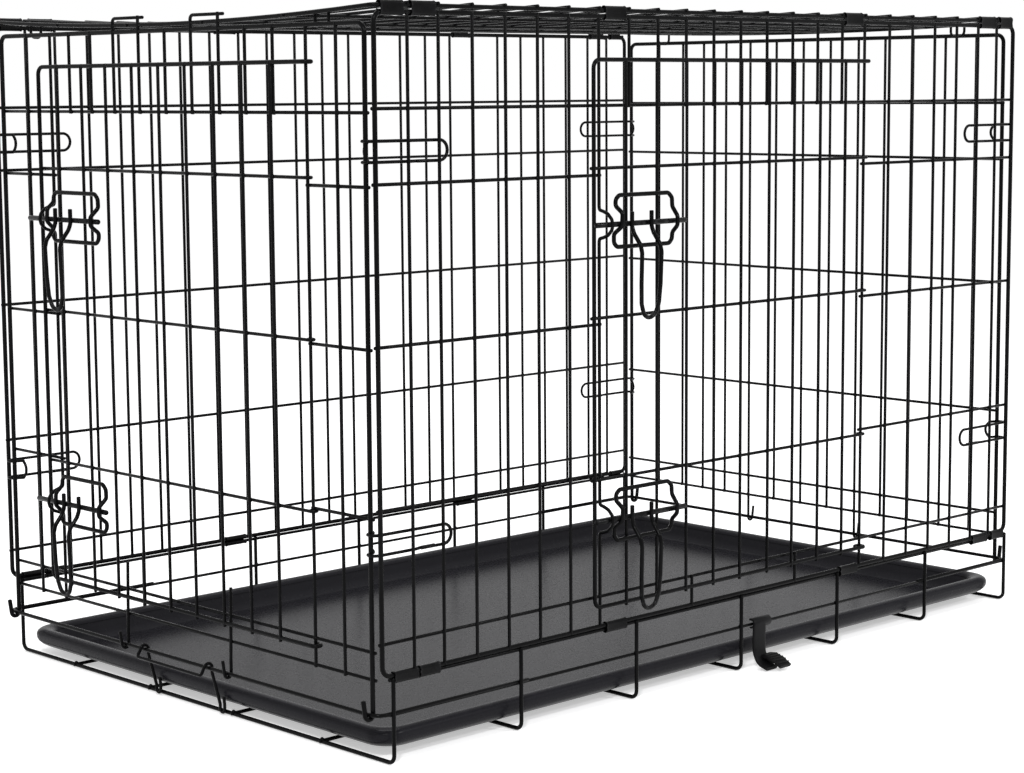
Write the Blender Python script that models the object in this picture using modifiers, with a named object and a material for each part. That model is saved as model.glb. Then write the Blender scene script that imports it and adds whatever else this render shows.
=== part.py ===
"""Folding wire dog crate: base, four panels, top, two doors, latches, tray and hinge clips.

Built in millimetres about the crate's middle, then placed in metres so that the row's
origin is under the middle floor wire. +X runs to the closed end, -Y is the side with a door.
"""
import math

import bmesh
import bpy

MM = 0.001
ORIGIN_X = 7.0

# Driving sizes: a 36 inch crate, with side panels 583 mm apart and a top rail near 25 inches.
LENGTH = 914.4
X_END = LENGTH / 2
SIDE_Y = 291.5
POST_Y = 279.5
SIDE_TOP = 637.5
END_TOP = 628.5
TOP_Z = 644.0
BASE_RAIL_X = 462.5
BASE_RAIL_Z = 45.5
BASE_HINGE_Z = 72.5

# Wire sizes, as half of each strip's width; a flat grille's strips are THIN * 2 thick.
THIN = 1.2
INFILL = 1.2
FRAME = 1.7
HOOK_R = 1.1
LATCH_R = 1.6
ROD_R = 2.3
GAP = 0.4

# Side panel: uprights, counted from the tray-latch end, and rails.
SIDE_GAPS = [35.5, 34.7] + [38.9] * 20 + [34.0, 32.2]
SIDE_X = [-X_END + sum(SIDE_GAPS[:i]) for i in range(len(SIDE_GAPS) + 1)]
SIDE_X[-1] = X_END
SIDE_RAILS = [79.0, 107.0, 221.4, 359.7, 495.3, 558.0, SIDE_TOP]
KEEPER_I = 7
HINGE_I = 17
KEEPER_X = -192.3
HINGE_X = 195.1
SHORT_X = [-66.4, 88.9]
SIDE_X[KEEPER_I] = KEEPER_X
SIDE_X[HINGE_I] = HINGE_X

# End panel: uprights from the near side to the far side, and rails.
END_Y = [-POST_Y, -243.6, -202.4, -158.1, -118.9, -80.7, -39.8, 0.6, 41.9, 82.8, 121.1, 157.5,
         191.9, 232.0, POST_Y]
END_RAILS = [74.4, 98.3, 211.4, 357.4, 497.3, 554.0, END_TOP]
END_HINGE_I = 2
END_KEEPER_I = 12
EYE_I = [5, 9]
END_HINGE_Y = END_Y[END_HINGE_I]
END_KEEPER_Y = END_Y[END_KEEPER_I]
EYE_R = 5.0
EYE_WIRE_R = 1.3
LOWEST_DOOR_RAIL = 1
DOOR_HEAD_RAIL = 5

# Doors hang outside the panels: each rail's end curls round the panel's hinge wire.
CURL_R = 4.4
CURL_WIRE_R = 1.3
SIDE_DOOR_X = [-203.5, -162.0, -120.5, -79.3, -39.9, -0.9, 40.5, 78.4, 118.8, 158.6]
SIDE_DOOR_RAILS = [98.5, 217.0, 366.0, 501.8, 599.0]
END_DOOR_Y = [207.0, 173.3, 132.0, 91.5, 48.3, 6.2, -34.6, -77.1, -118.1, -159.1]
END_DOOR_RAILS = [92.5, 206.0, 363.0, 504.0, 599.0]
ROD_OUT = 7.2

# Base, top, tray.
FLOOR_X = [-446.0, -295.0, -144.0, 7.0, 158.0, 309.0, 457.0]
FLOOR_Y = [-195.0, -66.0, 66.0, 195.0]
TOP_LONG_Y = [-SIDE_Y, -175.0, -58.3, 58.3, 175.0, SIDE_Y]
TRAY_X = 448.0
TRAY_Y = 281.0
TRAY_TOP = 27.0
TRAY_FLOOR = 3.8
TRAY_WALL = 2.2
TRAY_TAPER = 11.0

SIDE_TURN = (math.radians(90), 0, 0)
END_TURN = (math.radians(90), 0, math.radians(90))


def collection(name):
    found = bpy.data.collections.get(name)
    if found is None:
        found = bpy.data.collections.new(name)
        bpy.context.scene.collection.children.link(found)
    return found


def place(ob, group="part"):
    collection(group).objects.link(ob)
    return ob


def curve(name, loops, cyclic, dims):
    data = bpy.data.curves.new(name, "CURVE")
    data.dimensions = dims
    data.use_fill_caps = True
    for loop in loops:
        spline = data.splines.new("POLY")
        spline.points.add(len(loop) - 1)
        for point, spot in zip(spline.points, loop):
            full = list(spot) + [0.0] * (3 - len(spot))
            point.co = [c * MM for c in full] + [1.0]
        spline.use_cyclic_u = cyclic
    return bpy.data.objects.new(name, data)


def flat(name, loops, half=THIN, turn=(0, 0, 0), spot=(0, 0, 0)):
    """A flat piece: an outer outline and its holes, extruded to its thickness."""
    ob = curve(name, loops, True, "2D")
    ob.data.fill_mode = "BOTH"
    ob.data.extrude = half * MM
    ob.rotation_euler = turn
    ob.location = [c * MM for c in spot]
    return place(ob)


def wires(name, paths, radius, sides=4, cyclic=False):
    """Round wires along one or more paths, kept as one object."""
    ob = curve(name, paths, cyclic, "3D")
    ob.data.bevel_depth = radius * MM
    ob.data.bevel_resolution = (sides - 4) // 2
    ob.data.twist_mode = "MINIMUM"
    return place(ob)


def as_mesh(ob, group="part"):
    """A curve's own surface as a mesh object, in the same place."""
    bpy.context.view_layer.update()
    graph = bpy.context.evaluated_depsgraph_get()
    data = bpy.data.meshes.new_from_object(ob.evaluated_get(graph))
    work = bmesh.new()
    work.from_mesh(data)
    bmesh.ops.remove_doubles(work, verts=work.verts, dist=0.00001)
    work.to_mesh(data)
    work.free()
    name = ob.name
    matrix = ob.matrix_world.copy()
    bpy.data.objects.remove(ob)
    made = bpy.data.objects.new(name, data)
    made.matrix_world = matrix
    return place(made, group)


def unite(body, tools):
    """Body plus tools as one solid, by exact Booleans."""
    solid = body if body.type == "MESH" else as_mesh(body)
    for tool in tools:
        if tool.type == "MESH":
            tool.users_collection[0].objects.unlink(tool)
            cutter = place(tool, "cutters")
        else:
            cutter = as_mesh(tool, "cutters")
        cutter.hide_render = True
        cutter.display_type = "WIRE"
        step = solid.modifiers.new("unite " + cutter.name, "BOOLEAN")
        step.operation = "UNION"
        step.solver = "EXACT"
        step.object = cutter
    return solid


def plate(name, across, up, keep, half=THIN, turn=(0, 0, 0), spot=(0, 0, 0), nudge=None):
    """A flat grille: a grid drawn to the strips' edges, its openings deleted, then thickened."""
    columns, rows = len(across) - 1, len(up) - 1
    work = bmesh.new()
    bmesh.ops.create_grid(work, x_segments=columns, y_segments=rows, size=1.0)
    for vert in work.verts:
        i = round((vert.co.x + 1.0) * columns / 2)
        j = round((vert.co.y + 1.0) * rows / 2)
        du, dv = (nudge or {}).get((i, j), (0.0, 0.0))
        vert.co = ((across[i] + du) * MM, (up[j] + dv) * MM, 0.0)
    open_faces = []
    for face in work.faces:
        middle = face.calc_center_bounds() / MM
        i = sum(1 for x in sorted(across) if x < middle.x) - 1
        if across[0] > across[-1]:
            i = columns - 1 - i
        j = sum(1 for y in up if y < middle.y) - 1
        if not keep(i, j):
            open_faces.append(face)
    bmesh.ops.delete(work, geom=open_faces, context="FACES")
    bmesh.ops.recalc_face_normals(work, faces=work.faces)
    data = bpy.data.meshes.new(name)
    work.to_mesh(data)
    work.free()
    ob = bpy.data.objects.new(name, data)
    ob.rotation_euler = turn
    ob.location = [c * MM for c in spot]
    skin = ob.modifiers.new("thickness", "SOLIDIFY")
    skin.thickness = 2 * half * MM
    skin.offset = 0.0
    return place(ob)


def edges(values, widths):
    """Both edges of every strip, in order."""
    found = []
    for value, width in zip(values, widths):
        found += [value - width, value + width]
    return found


def rect(x0, x1, y0, y1):
    return [(x0, y0), (x1, y0), (x1, y1), (x0, y1)]


def half_width(values, i):
    return FRAME if i in (0, len(values) - 1) else INFILL


def cells(across, up, skip=()):
    """The openings between strips; skip holds the (column, row) pairs left out."""
    found = []
    for i in range(len(across) - 1):
        for j in range(len(up) - 1):
            if (i, j) not in skip:
                found.append(rect(across[i] + half_width(across, i),
                                  across[i + 1] - half_width(across, i + 1),
                                  up[j] + half_width(up, j),
                                  up[j + 1] - half_width(up, j + 1)))
    return found


def block(columns, rows):
    return {(i, j) for i in columns for j in rows}


def doorway(across, up, first, keeper, last):
    """The doorway hole. The rails that end at the keeper wire stand into it as fingers."""
    foot = up[LOWEST_DOOR_RAIL] + INFILL
    head = up[DOOR_HEAD_RAIL] - INFILL
    step = 1 if last > first else -1
    start = across[first] + step * INFILL
    tip = keeper - step * (INFILL + GAP)
    side = across[last] - step * INFILL
    points = [(start, head), (side, head), (side, foot), (start, foot)]
    for rail in up[LOWEST_DOOR_RAIL + 1:DOOR_HEAD_RAIL]:
        points += [(start, rail - INFILL), (tip, rail - INFILL), (tip, rail + INFILL),
                   (start, rail + INFILL)]
    return points


def arc(cu, cv, radius, start, end, steps):
    found = []
    for i in range(steps + 1):
        a = math.radians(start + (end - start) * i / steps)
        found.append((cu + radius * math.cos(a), cv + radius * math.sin(a)))
    return found


def side_outline():
    low = SIDE_RAILS[0] - FRAME
    high = SIDE_TOP + FRAME
    edge = X_END + FRAME
    bend = 6.0
    points = arc(-edge + bend, low + bend, bend, 180, 270, 2)
    points += arc(edge - bend, low + bend, bend, 270, 360, 2)
    return points + [(edge, high), (-edge, high)]


def below_door():
    """The openings between the two lowest rails under the side door, which has its own uprights."""
    lines = [KEEPER_X] + SHORT_X + [HINGE_X]
    low = SIDE_RAILS[0] + FRAME
    high = SIDE_RAILS[1] - INFILL
    return [rect(a + INFILL, b - INFILL, low, high) for a, b in zip(lines, lines[1:])]


def side_panels():
    outline = side_outline()
    rows = range(LOWEST_DOOR_RAIL, DOOR_HEAD_RAIL)
    near_skip = block(range(KEEPER_I - 1, HINGE_I), rows)
    holes = cells(SIDE_X, SIDE_RAILS, near_skip | block(range(KEEPER_I, HINGE_I), [0]))
    holes += below_door()
    way = doorway(SIDE_X, SIDE_RAILS, KEEPER_I - 1, KEEPER_X, HINGE_I)
    flat("side_panel_near", [outline, way] + holes, THIN, SIDE_TURN, (0, -SIDE_Y, 0))
    flat("side_panel_far", [outline] + cells(SIDE_X, SIDE_RAILS), THIN, SIDE_TURN, (0, SIDE_Y, 0))


def end_keep(front):
    """Which cells of an end panel are solid; the front one has the doorway and keeper gap."""
    hinge, keeper = END_HINGE_I, END_KEEPER_I
    tabs = {2 * k + d for k in (5, 8) for d in (0, 1, 2)}
    left_out = {2 * k for k in range(hinge + 1, keeper) if k not in EYE_I}

    def keep(i, j):
        if j == 2 * len(END_RAILS) - 1:
            return i in tabs
        solid = i % 2 == 0 or j % 2 == 0
        if front and j == 1 and i in left_out:
            solid = False
        if front and 2 * LOWEST_DOOR_RAIL < j < 2 * DOOR_HEAD_RAIL:
            solid = solid and not 2 * hinge < i <= 2 * keeper
        return solid

    return keep


def eye(side, y):
    """One wire end: down the panel, under the base rail and up on its outer side."""
    ring = arc(BASE_RAIL_X * side, BASE_RAIL_Z, EYE_R, 0, -180, 6)
    path = [(BASE_RAIL_X - EYE_R, 77.0)]
    for u, z in ring:
        path.append((BASE_RAIL_X - (u - BASE_RAIL_X * side), z))
    path.append((BASE_RAIL_X + EYE_R, BASE_RAIL_Z + 8.0))
    return [(side * u, y, z) for u, z in path]


def end_panels():
    posts = (0, len(END_Y) - 1)
    widths = [FRAME if k in posts else INFILL for k in range(len(END_Y))]
    ends = (0, len(END_RAILS) - 1)
    up = edges(END_RAILS, [FRAME if k in ends else INFILL for k in range(len(END_RAILS))])
    up.append(642.0)
    eye_y = [-POST_Y, POST_Y] + [END_Y[i] for i in EYE_I]
    for name, side in (("end_panel_front", -1), ("end_panel_back", 1)):
        if side < 0:
            widths[END_KEEPER_I] = INFILL + GAP
        else:
            widths[END_KEEPER_I] = INFILL
        panel = plate(name, edges(END_Y, widths), up, end_keep(side < 0), THIN, END_TURN,
                      (side * X_END, 0, 0))
        eyes = wires(name + "_eyes", [eye(side, y) for y in eye_y], EYE_WIRE_R)
        unite(panel, [eyes])


def bulge(base, middle, height=28.0, rise=18.0):
    """A wire's outward bend round a bolt: pairs of (outward offset, height)."""
    half = height / 2
    shape = [(0, -half - 3), (2, -half), (8, -half + 2), (14, -half + 5), (rise, -4), (rise, 4),
             (14, half - 5), (8, half - 2), (2, half), (0, half + 3)]
    return [(base + out, middle + dz) for out, dz in shape]


UPPER_Z = 451.0
SIDE_LOWER_Z = 180.0
END_LOWER_Z = 172.0


def keepers():
    foot = SIDE_RAILS[LOWEST_DOOR_RAIL] + INFILL + GAP
    head = SIDE_RAILS[DOOR_HEAD_RAIL] - INFILL - GAP
    path = [(0, foot)] + bulge(0, SIDE_LOWER_Z) + bulge(0, UPPER_Z) + [(0, head)]
    wires("side_keeper", [[(KEEPER_X, -SIDE_Y - out, z) for out, z in path]], INFILL, 6)
    foot = END_RAILS[LOWEST_DOOR_RAIL] + INFILL + GAP
    head = END_RAILS[DOOR_HEAD_RAIL] - INFILL - GAP
    path = [(0, foot)] + bulge(0, END_LOWER_Z) + bulge(0, UPPER_Z) + [(0, head)]
    wires("end_keeper", [[(-X_END - out, END_KEEPER_Y, z) for out, z in path]], INFILL, 6)


def top_panel():
    edge = X_END + FRAME
    side = SIDE_Y + FRAME
    flat("top_panel", [rect(-edge, edge, -side, side)] + cells(SIDE_X, TOP_LONG_Y), THIN,
         (0, 0, 0), (0, 0, TOP_Z))


def door_plate(name, across, rails, tip, turn, spot):
    """A door's grille, listed from its free side; every rail has a finger to the hinge."""
    step = 1 if across[-1] > across[0] else -1
    lines = edges(across, [step * (FRAME if k == 0 else INFILL) for k in range(len(across))])
    lines.append(tip)
    ends = (0, len(rails) - 1)
    up = edges(rails, [FRAME if k in ends else INFILL for k in range(len(rails))])
    last = 2 * len(across) - 1
    soft = 2.5

    def keep(i, j):
        return j % 2 == 0 or (i % 2 == 0 and i < last)

    nudge = {(0, 0): (step * soft, soft), (0, len(up) - 1): (step * soft, -soft)}
    return plate(name, lines, up, keep, THIN, turn, spot, nudge)


def doors():
    reach = 1.5
    tip = HINGE_X - reach
    door = door_plate("side_door", SIDE_DOOR_X, SIDE_DOOR_RAILS, tip, SIDE_TURN,
                      (0, -SIDE_Y - CURL_R, 0))
    paths = []
    for z in SIDE_DOOR_RAILS:
        ring = arc(HINGE_X, -SIDE_Y, CURL_R, -90, 150, 6)
        paths.append([(tip - 3.0, -SIDE_Y - CURL_R, z)] + [(x, y, z) for x, y in ring])
    unite(door, [wires("side_door_curls", paths, CURL_WIRE_R)])

    tip = END_HINGE_Y + reach
    door = door_plate("end_door", END_DOOR_Y, END_DOOR_RAILS, tip, END_TURN,
                      (-X_END - CURL_R, 0, 0))
    paths = []
    for z in END_DOOR_RAILS:
        ring = arc(-X_END, END_HINGE_Y, CURL_R, -180, 60, 6)
        paths.append([(-X_END - CURL_R, tip + 3.0, z)] + [(x, y, z) for x, y in ring])
    unite(door, [wires("end_door_curls", paths, CURL_WIRE_R)])


def latch_shapes():
    """Bracket loop and handle, as (along, out, up) about the rod; along points to the hinge."""
    low = -ROD_OUT + THIN + GAP + LATCH_R
    over = ROD_R + GAP + LATCH_R
    bracket = [(-24, low, 26), (34, low, 26), (39, low, 22), (42, low + 2, 14), (46, over, 6),
               (48, over, 0), (46, over, -6), (42, low + 2, -12), (37, low, -18), (32, low, -21),
               (-26, low, -21), (-31, low, -17), (-29, low + 2, -10), (-25, over, -5),
               (-23, over, 0), (-25, over, 6), (-28, low + 2, 13), (-29, low, 21)]
    half = 13.5
    leg = [(half, over, 10), (half, over, -4), (half, over + 4, -12), (half, over + 12, -20),
           (half, over + 14, -27), (half - 1, over + 11, -58), (half - 3, over + 10, -74),
           (half - 8, over + 9, -84)]
    handle = [(-u, n, z) for u, n, z in leg] + [(0, over + 9, -87)] + leg[::-1]
    return bracket, handle


def latches():
    bracket, handle = latch_shapes()
    rod_reach = (-55.5, 63.5)
    middle = -152.5
    rod_y = -SIDE_Y - CURL_R - ROD_OUT
    for tag, z in (("side_upper", UPPER_Z), ("side_lower", SIDE_LOWER_Z)):
        ends = [(middle + u, rod_y, z) for u in rod_reach]
        wires("bolt_" + tag, [ends], ROD_R, 8)
        loop = [(middle + u, rod_y - n, z + up) for u, n, up in bracket]
        wires("bracket_" + tag, [loop], LATCH_R, 4, True)
        path = [(middle + u, rod_y - n, z + up) for u, n, up in handle]
        wires("handle_" + tag, [path], LATCH_R)
    middle = 153.5
    rod_x = -X_END - CURL_R - ROD_OUT
    for tag, z in (("end_upper", UPPER_Z), ("end_lower", END_LOWER_Z)):
        ends = [(rod_x, middle - u * 1.08, z) for u in rod_reach]
        wires("bolt_" + tag, [ends], ROD_R, 8)
        loop = [(rod_x - n, middle - u, z + up) for u, n, up in bracket]
        wires("bracket_" + tag, [loop], LATCH_R, 4, True)
        path = [(rod_x - n, middle - u, z + up) for u, n, up in handle]
        wires("handle_" + tag, [path], LATCH_R)


def corner_hooks():
    """Closed wire hooks at the four corners, two heights each: round the end panel's post."""
    leg_y = SIDE_Y - THIN - GAP - HOOK_R
    back_y = 272.5
    tip_x = BASE_RAIL_X + 1.5
    tail = 377.0
    for height, mid in (("upper", 522.5), ("lower", 192.2)):
        half = 8.5
        for end, ex in (("front", -1), ("back", 1)):
            for side, sy in (("near", -1), ("far", 1)):
                over = [(tail + 10, leg_y), (tip_x - 6, leg_y), (tip_x, leg_y - 3),
                        (tip_x, back_y + 3), (tip_x - 5, back_y), (449.0, back_y)]
                loop = [(x, y, mid + half) for x, y in over]
                loop += [(447.0, back_y, mid + half - 3), (447.0, back_y, mid - half + 3)]
                loop += [(x, y, mid - half) for x, y in reversed(over)]
                loop += [(tail + 3, leg_y, mid - half + 3), (tail, leg_y, mid),
                         (tail + 3, leg_y, mid + half - 3)]
                path = [(ex * x, sy * y, z) for x, y, z in loop]
                wires("_".join(("hook", height, end, side)), [path], HOOK_R, 4, True)


def clip_ring(low, high, y_low, y_high):
    """A folded metal clip's end view round two rails: outer outline and inner hole."""
    wall = 0.9
    inner = rect(y_low, y_high, low, high)
    a, b = y_low - wall, y_high + wall
    c, d = low - wall, high + wall
    cut = 1.6
    outer = [(a + cut, c), (b - cut, c), (b, c + cut), (b, d - cut), (b - cut, d), (a + cut, d),
             (a, d - cut), (a, c + cut)]
    return [outer, inner]


def hinge_clips():
    room = 0.3
    near = SIDE_Y - FRAME - room
    far = SIDE_Y + FRAME + room
    top = clip_ring(SIDE_TOP - FRAME - room, TOP_Z + THIN + room, near, far)
    foot = clip_ring(BASE_HINGE_Z - INFILL - room, SIDE_RAILS[0] + FRAME + room,
                     SIDE_Y - THIN - room, SIDE_Y + THIN + room)
    spots = [(-439.2, 25.0), (-404.3, 27.0), (-172.4, 27.0), (175.3, 27.0), (408.0, 27.0),
             (441.0, 22.0)]
    foot_spots = [(-434.3, 17.0)] + spots[1:]
    for level, ring, places in (("top", top, spots), ("foot", foot, foot_spots)):
        for i, (x, long) in enumerate(places):
            for side, sy in (("near", -1), ("far", 1)):
                loops = [[(sy * y, z) for y, z in loop] for loop in ring]
                name = "_".join(("clip", level, side, str(i + 1)))
                flat(name, loops, long / 2, END_TURN, (x, 0, 0))


def base_side(name, sy):
    """One side of the base: legs, the middle wire and the hinge rail, all in one plane."""
    leg = INFILL - 0.1
    lines = [-BASE_RAIL_X] + edges(FLOOR_X, [leg] * len(FLOOR_X)) + [BASE_RAIL_X]
    up = [0.8, BASE_RAIL_Z - FRAME, BASE_RAIL_Z + FRAME, BASE_HINGE_Z - INFILL,
          BASE_HINGE_Z + INFILL]
    last = len(lines) - 2

    def keep(i, j):
        if j == 1:
            return True
        return 0 < i < last and (i % 2 == 1 or j == 3)

    return plate(name, lines, up, keep, THIN, SIDE_TURN, (0, sy * SIDE_Y, 0))


def base_frame():
    tip = SIDE_Y + 1.0
    lines = edges(FLOOR_X, [INFILL] * len(FLOOR_X))
    up = [-tip] + edges(FLOOR_Y, [INFILL] * len(FLOOR_Y)) + [tip]
    floor = plate("base_frame", lines, up, lambda i, j: i % 2 == 0 or j % 2 == 1, THIN,
                  (0, 0, 0), (0, 0, THIN))
    sides = [base_side("base_near", -1), base_side("base_far", 1)]
    reach = SIDE_Y + 0.6
    rails = [wires("base_rail_" + tag, [[(x, -reach, BASE_RAIL_Z), (x, reach, BASE_RAIL_Z)]],
                   FRAME - 0.2, 8) for tag, x in (("front", -BASE_RAIL_X), ("back", BASE_RAIL_X))]
    unite(floor, sides + rails)


def tray():
    """A shallow moulded pan: tapered walls with round corners and a turned-out rim."""
    base = TRAY_FLOOR + TRAY_WALL
    wall_top = TRAY_TOP - 1.0
    inset = TRAY_TAPER + 4.0
    work = bmesh.new()
    bmesh.ops.create_cube(work, size=2.0)
    lid = [f for f in work.faces if f.normal.z > 0.5]
    bmesh.ops.delete(work, geom=lid, context="FACES_ONLY")
    for vert in work.verts:
        low = vert.co.z < 0
        back = inset if low else 5.0
        vert.co = (vert.co.x * (TRAY_X - back) * MM, vert.co.y * (TRAY_Y - back) * MM,
                   (base if low else wall_top) * MM)
    edge = [e for e in work.edges if e.is_boundary]
    for back, z in ((3.0, TRAY_TOP), (0.5, TRAY_TOP - 1.5), (0.0, TRAY_TOP - 6.0)):
        made = bmesh.ops.extrude_edge_only(work, edges=edge)["geom"]
        edge = [item for item in made if isinstance(item, bmesh.types.BMEdge)]
        for vert in [item for item in made if isinstance(item, bmesh.types.BMVert)]:
            vert.co = (math.copysign(TRAY_X - back, vert.co.x) * MM,
                       math.copysign(TRAY_Y - back, vert.co.y) * MM, z * MM)
        edge = [e for e in edge if e.is_boundary]
    bends = [e for e in work.edges if abs(e.verts[0].co.z - e.verts[1].co.z) > 0.0001]
    bmesh.ops.bevel(work, geom=bends, offset=36.0 * MM, offset_type="WIDTH", segments=4,
                    profile=0.5, affect="EDGES")
    bmesh.ops.recalc_face_normals(work, faces=work.faces)
    data = bpy.data.meshes.new("tray")
    work.to_mesh(data)
    work.free()
    ob = place(bpy.data.objects.new("tray", data))
    skin = ob.modifiers.new("wall", "SOLIDIFY")
    skin.thickness = TRAY_WALL * MM
    skin.offset = -1.0
    skin.use_even_offset = True
    return ob


def tray_latch():
    """Wire latch at the end: two legs up from the floor wire to hooks over the base rail."""
    r = 1.6
    wire_x, wire_z = FLOOR_X[0], THIN
    rail_x, rail_z = -BASE_RAIL_X, BASE_RAIL_Z
    curl = arc(wire_x, wire_z, 4.6, 12, 168, 5)
    over = FRAME + GAP + r
    hook = arc(rail_x, rail_z, over, 10, 150, 4)
    bar_x, bar_z = rail_x - 8.5, 39.5
    left, right = 50.0, -50.0

    def leg(y):
        return [(x, y, z) for x, z in curl] + [(wire_x - 8.0, y, 9.0), (bar_x + 1.2, y, bar_z - 4.2)]

    def claw(y):
        return [(x, y, z) for x, z in hook] + [(bar_x, y, bar_z + 3.0)]

    paths = [leg(left - 8.0), claw(left), claw(right), leg(right + 8.0)]
    body = wires("tray_latch", [[(bar_x, left + 2.0, bar_z), (bar_x, right - 2.0, bar_z)]], r + 0.2, 6)
    tools = [wires("tray_latch_" + str(i), [path], r) for i, path in enumerate(paths)]
    for i, tool in enumerate(tools):
        y = (left - 8.0, left, right, right + 8.0)[i]
        last = tool.data.splines[0].points[-1]
        last.co = (bar_x * MM, y * MM, bar_z * MM, 1.0)
    unite(body, tools)


def tray_clip():
    """Moulded clip: a split tube that snaps on the base's middle wire, with a ribbed thumb pad."""
    cx = 35.5
    cy, cz = -SIDE_Y, BASE_RAIL_Z
    inner, outer = 3.4, 5.2
    ring = arc(cy, cz, outer, 60, 285, 7)
    back = arc(cy, cz, inner, 285, 60, 7)
    outline = back + ring
    body = flat("tray_clip", [outline], 13.0, END_TURN, (cx, 0, 0))
    tongue = [(-296.0, 45.2), (-294.4, 41.8), (-297.0, 33.0), (-298.2, 18.0), (-303.0, 7.5),
              (-311.0, 4.2), (-320.0, 5.2), (-320.0, 7.4), (-311.5, 6.4), (-304.5, 9.6),
              (-300.3, 18.5), (-299.3, 33.0), (-297.8, 43.0)]
    arm = flat("tray_clip_arm", [tongue], 9.0, END_TURN, (cx, 0, 0))
    rows = [(-308.0, 8.0), (-311.2, 6.5), (-314.4, 6.8), (-317.6, 7.1)]
    ribs = [[(cx - 7.0, y, z), (cx + 7.0, y, z)] for y, z in rows]
    bars = wires("tray_clip_ribs", ribs, 0.9)
    return unite(body, [arm, bars])


def material(name, colour, roughness, metallic):
    made = bpy.data.materials.new(name)
    made.use_nodes = True
    shader = made.node_tree.nodes["Principled BSDF"]
    shader.inputs["Base Color"].default_value = (*colour, 1.0)
    shader.inputs["Roughness"].default_value = roughness
    shader.inputs["Metallic"].default_value = metallic
    return made


def paint():
    """Every piece gets its own material: coated wire, clip steel or moulded plastic."""
    for ob in collection("part").objects:
        if ob.name == "tray":
            made = material(ob.name, (0.075, 0.072, 0.082), 0.5, 0.0)
        elif ob.name == "tray_clip":
            made = material(ob.name, (0.02, 0.02, 0.022), 0.4, 0.0)
        elif ob.name.startswith("clip_"):
            made = material(ob.name, (0.016, 0.016, 0.018), 0.35, 0.3)
        else:
            made = material(ob.name, (0.012, 0.012, 0.014), 0.3, 0.2)
        ob.data.materials.append(made)


def hang(pivot_name, spot, names):
    """Parent pieces to an empty on their joint's axis, without moving them."""
    pivot = place(bpy.data.objects.new(pivot_name, None))
    pivot.location = [c * MM for c in spot]
    bpy.context.view_layer.update()
    for name in names:
        ob = bpy.data.objects[name]
        ob.parent = pivot
        ob.matrix_parent_inverse = pivot.matrix_world.inverted()
    return pivot


def pivots():
    """Empties on the joint axes; the shift that puts the origin under the middle wire is theirs too."""
    rod_y = -SIDE_Y - CURL_R - ROD_OUT
    rod_x = -X_END - CURL_R - ROD_OUT
    crate = place(bpy.data.objects.new("crate_origin", None))
    made = [hang("pivot_side_door", (HINGE_X, -SIDE_Y, 0),
                 ["side_door", "bracket_side_upper", "bracket_side_lower"]),
            hang("pivot_end_front", (-BASE_RAIL_X, 0, BASE_RAIL_Z),
                 ["end_panel_front", "end_keeper"]),
            hang("pivot_end_back", (BASE_RAIL_X, 0, BASE_RAIL_Z), ["end_panel_back"]),
            hang("pivot_end_door", (-X_END, END_HINGE_Y, 0),
                 ["end_door", "bracket_end_upper", "bracket_end_lower"]),
            hang("pivot_tray", (0, 0, TRAY_FLOOR), ["tray"]),
            hang("pivot_tray_latch", (FLOOR_X[0], 0, THIN), ["tray_latch"]),
            hang("pivot_tray_clip", (35.5, -SIDE_Y, BASE_RAIL_Z), ["tray_clip"])]
    for tag, x, y, z in (("side_upper", -152.5, rod_y, UPPER_Z),
                         ("side_lower", -152.5, rod_y, SIDE_LOWER_Z),
                         ("end_upper", rod_x, 153.5, UPPER_Z),
                         ("end_lower", rod_x, 153.5, END_LOWER_Z)):
        made.append(hang("pivot_" + tag, (x, y, z), ["bolt_" + tag, "handle_" + tag]))
    loose = [ob for ob in collection("part").objects if ob.parent is None and ob is not crate]
    for ob in loose + list(collection("cutters").objects):
        ob.parent = crate
    crate.location.x = -ORIGIN_X * MM


def main():
    for ob in list(bpy.data.objects):
        bpy.data.objects.remove(ob)
    collection("part")
    collection("cutters")
    base_frame()
    side_panels()
    end_panels()
    top_panel()
    doors()
    keepers()
    latches()
    corner_hooks()
    hinge_clips()
    tray()
    tray_latch()
    tray_clip()
    paint()
    pivots()


main()
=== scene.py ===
"""Folding wire dog crate with two doors: the surface and finish of every wire, clip and moulding.

Sizes are millimetres about the crate's middle, +X towards the end without a door and -Y towards
the side with one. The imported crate's origin is 7 mm along X from that middle, so every surface
is moved there and turned into metres as it becomes a mesh.
"""
import math

import bpy
import numpy as np
from mathutils import Matrix, Vector


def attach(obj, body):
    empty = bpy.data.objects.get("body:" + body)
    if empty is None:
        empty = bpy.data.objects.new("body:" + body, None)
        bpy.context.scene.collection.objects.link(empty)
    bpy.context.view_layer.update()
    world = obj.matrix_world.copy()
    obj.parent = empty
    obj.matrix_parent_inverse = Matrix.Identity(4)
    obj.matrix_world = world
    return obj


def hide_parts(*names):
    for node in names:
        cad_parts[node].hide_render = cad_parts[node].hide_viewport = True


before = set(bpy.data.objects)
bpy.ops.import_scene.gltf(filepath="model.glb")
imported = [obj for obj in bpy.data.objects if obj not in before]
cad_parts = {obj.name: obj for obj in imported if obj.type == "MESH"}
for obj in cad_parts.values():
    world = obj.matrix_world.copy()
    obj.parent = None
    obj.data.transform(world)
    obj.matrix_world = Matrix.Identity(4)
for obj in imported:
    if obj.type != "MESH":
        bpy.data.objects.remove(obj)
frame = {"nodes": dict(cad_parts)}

bl_info = {
    "name": "Folding Wire Dog Crate",
    "version": (1, 0, 0),
    "blender": (4, 5, 0),
    "location": "View3D > Sidebar > Dog Crate",
    "description": "Panels, doors, slide bolts, hinge clips and floor tray of a wire dog crate",
    "category": "Add Mesh",
}

MM = 0.001
ORIGIN_X = 7.0

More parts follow.
